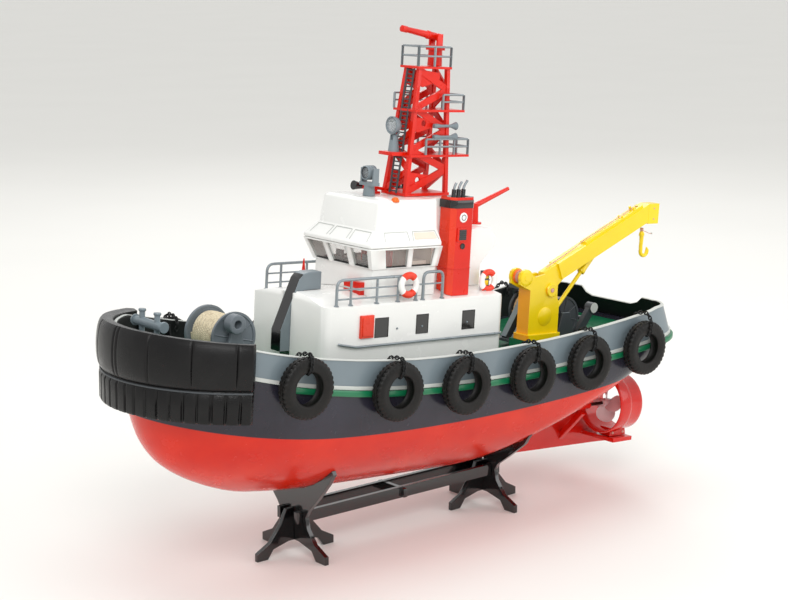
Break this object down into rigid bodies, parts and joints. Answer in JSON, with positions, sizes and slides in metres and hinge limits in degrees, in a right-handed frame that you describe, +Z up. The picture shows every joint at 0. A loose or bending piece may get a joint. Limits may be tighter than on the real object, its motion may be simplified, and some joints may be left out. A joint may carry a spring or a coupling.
{
  "type": "model harbour tug",
  "caption": "Radio-controlled harbour tug on a display stand, with tyre fenders, winches, a deck crane, lattice mast and ducted propellers.",
  "frame": {"origin": "on the ground under the centre of the whole object, stand included", "axes": "+X towards the bow, +Y to port, +Z up; the boat sits trimmed 3.86 degrees bow-up on its stand"},
  "size_m": [0.585, 0.2096, 0.446],
  "materials": {
    "hull_paint": "gloss, red below the waterline",
    "deck_green": "satin",
    "grey_paint": "satin",
    "dark_grey_paint": "satin",
    "red_paint": "gloss",
    "white_paint": "gloss",
    "crane_yellow": "gloss",
    "sheave_orange": "satin",
    "propeller_plastic": "satin",
    "fender_rubber": "satin",
    "tyre_rubber": "satin",
    "wound_rope": "twisted cord",
    "window_glass": "clear",
    "motor_steel": "brushed",
    "battery_wrap": "satin",
    "receiver_case": "matte",
    "stand_black": "gloss"
  },
  "bodies": {
    "stand": {"stand_cradle_front": "stand_black", "stand_foot_front": "stand_black", "stand_cradle_rear": "stand_black", "stand_foot_rear": "stand_black", "stand_rails": "stand_black"},
    "boat": {"hull": "hull_paint", "main_deck": "deck_green", "bulwark": "grey_paint", "rub_strake": "deck_green", "bow_fender": "fender_rubber", "port_tyre_1": "tyre_rubber", "port_tyre_2": "tyre_rubber", "port_tyre_3": "tyre_rubber", "port_tyre_4": "tyre_rubber", "port_tyre_5": "tyre_rubber", "port_tyre_6": "tyre_rubber", "starboard_tyre_1": "tyre_rubber", "starboard_tyre_2": "tyre_rubber", "starboard_tyre_3": "tyre_rubber", "starboard_tyre_4": "tyre_rubber", "starboard_tyre_5": "tyre_rubber", "starboard_tyre_6": "tyre_rubber", "skeg": "red_paint", "port_nozzle": "red_paint", "starboard_nozzle": "red_paint", "port_motor": "motor_steel", "starboard_motor": "motor_steel", "battery_pack": "battery_wrap", "receiver_box": "receiver_case", "bow_winch_frame": "grey_paint", "aft_winch_frame": "grey_paint", "bow_bitts": "grey_paint", "tow_gear": "dark_grey_paint"},
    "superstructure": {"deckhouse": "white_paint", "ventilation_trunk": "dark_grey_paint", "bridge": "white_paint", "bridge_windows": "window_glass", "bridge_roof": "white_paint", "port_funnel": "red_paint", "starboard_funnel": "red_paint", "port_rail": "grey_paint", "starboard_rail": "grey_paint", "mast": "red_paint"},
    "port_screw": {"port_propeller": "propeller_plastic"},
    "starboard_screw": {"starboard_propeller": "propeller_plastic"},
    "bow_reel": {"bow_winch_drum": "wound_rope"},
    "aft_reel": {"aft_winch_drum": "wound_rope"},
    "crane_house": {"crane_turret": "crane_yellow"},
    "boom": {"crane_boom": "crane_yellow", "crane_rope": "wound_rope"},
    "sheave": {"crane_sheave": "sheave_orange"},
    "ram_rod": {"crane_ram_rod": "crane_yellow"},
    "ram_cylinder": {"crane_ram_cylinder": "crane_yellow"},
    "hook": {"crane_hook": "crane_yellow"},
    "monitor_base": {"monitor_turret": "red_paint"},
    "monitor_pipe": {"monitor_barrel": "red_paint"},
    "platform_lamp": {"mast_lamp": "grey_paint"},
    "searchlight_yoke": {"lamp_yoke": "grey_paint"},
    "searchlight": {"roof_lamp": "grey_paint"},
    "stern_monitor": {"aft_monitor": "red_paint"}
  },
  "joints": [
    {"name": "boat_lift_off", "type": "slide", "parent": "stand", "child": "boat", "axis": [0, 0, 1], "range_m": [0, 0.06]},
    {"name": "superstructure_lift_off", "type": "slide", "parent": "boat", "child": "superstructure", "axis": [-0.0673, 0, 0.9977], "range_m": [0, 0.06]},
    {"name": "port_shaft", "type": "hinge", "parent": "boat", "child": "port_screw", "pos_m": [-0.23618, 0.03, 0.07976], "axis": [0.9977, 0, 0.0673], "continuous": true},
    {"name": "starboard_shaft", "type": "hinge", "parent": "boat", "child": "starboard_screw", "pos_m": [-0.23618, -0.03, 0.07976], "axis": [0.9977, 0, 0.0673], "continuous": true},
    {"name": "bow_reel_axle", "type": "hinge", "parent": "boat", "child": "bow_reel", "pos_m": [0.19147, 0, 0.20333], "axis": [0, 1, 0], "continuous": true},
    {"name": "aft_reel_axle", "type": "hinge", "parent": "boat", "child": "aft_reel", "pos_m": [-0.17819, 0, 0.17087], "axis": [0, 1, 0], "continuous": true},
    {"name": "crane_slew", "type": "hinge", "parent": "boat", "child": "crane_house", "pos_m": [-0.13627, 0.034, 0.15867], "axis": [-0.0673, 0, 0.9977], "range_deg": [-100, 12]},
    {"name": "boom_luff", "type": "hinge", "parent": "crane_house", "child": "boom", "pos_m": [-0.14628, 0.034, 0.20309], "axis": [0, 1, 0], "range_deg": [-14, 14]},
    {"name": "ram_swing", "type": "hinge", "parent": "crane_house", "child": "ram_rod", "pos_m": [-0.15458, 0.034, 0.17748], "axis": [0, 1, 0], "range_deg": [-12.5, 12.5]},
    {"name": "ram_stroke", "type": "slide", "parent": "ram_rod", "child": "ram_cylinder", "axis": [-0.7246, 0, 0.6892], "range_m": [-0.0062, 0.0062]},
    {"name": "rope_sheave", "type": "hinge", "parent": "crane_house", "child": "sheave", "pos_m": [-0.11523, 0.034, 0.21822], "axis": [0, 1, 0], "continuous": true},
    {"name": "hook_swing", "type": "hinge", "parent": "boom", "child": "hook", "pos_m": [-0.27509, 0.034, 0.2468], "axis": [0, 1, 0], "range_deg": [-35, 35]},
    {"name": "monitor_pan", "type": "hinge", "parent": "superstructure", "child": "monitor_base", "pos_m": [-0.04036, 0, 0.41571], "axis": [-0.0673, 0, 0.9977], "range_deg": [-170, 170]},
    {"name": "monitor_tilt", "type": "hinge", "parent": "monitor_base", "child": "monitor_pipe", "pos_m": [-0.04166, 0, 0.43506], "axis": [0, 1, 0], "range_deg": [-35, 10]},
    {"name": "platform_lamp_tilt", "type": "hinge", "parent": "superstructure", "child": "platform_lamp", "pos_m": [0.00609, 0, 0.35119], "axis": [0, 1, 0], "range_deg": [-5, 20]},
    {"name": "searchlight_pan", "type": "hinge", "parent": "superstructure", "child": "searchlight_yoke", "pos_m": [0.0341, 0, 0.30747], "axis": [-0.0673, 0, 0.9977], "range_deg": [-120, 120]},
    {"name": "searchlight_tilt", "type": "hinge", "parent": "searchlight_yoke", "child": "searchlight", "pos_m": [0.03309, 0, 0.32244], "axis": [0, 1, 0], "range_deg": [-30, 20]},
    {"name": "stern_monitor_pan", "type": "hinge", "parent": "superstructure", "child": "stern_monitor", "pos_m": [-0.08939, 0, 0.26606], "axis": [-0.0673, 0, 0.9977], "range_deg": [-90, 90]}
  ],
  "couplings": [
    {"joint": "ram_swing", "follows": "boom_luff", "ratio": 0.86},
    {"joint": "ram_stroke", "follows": "boom_luff", "m_per_rad": 0.0241}
  ]
}
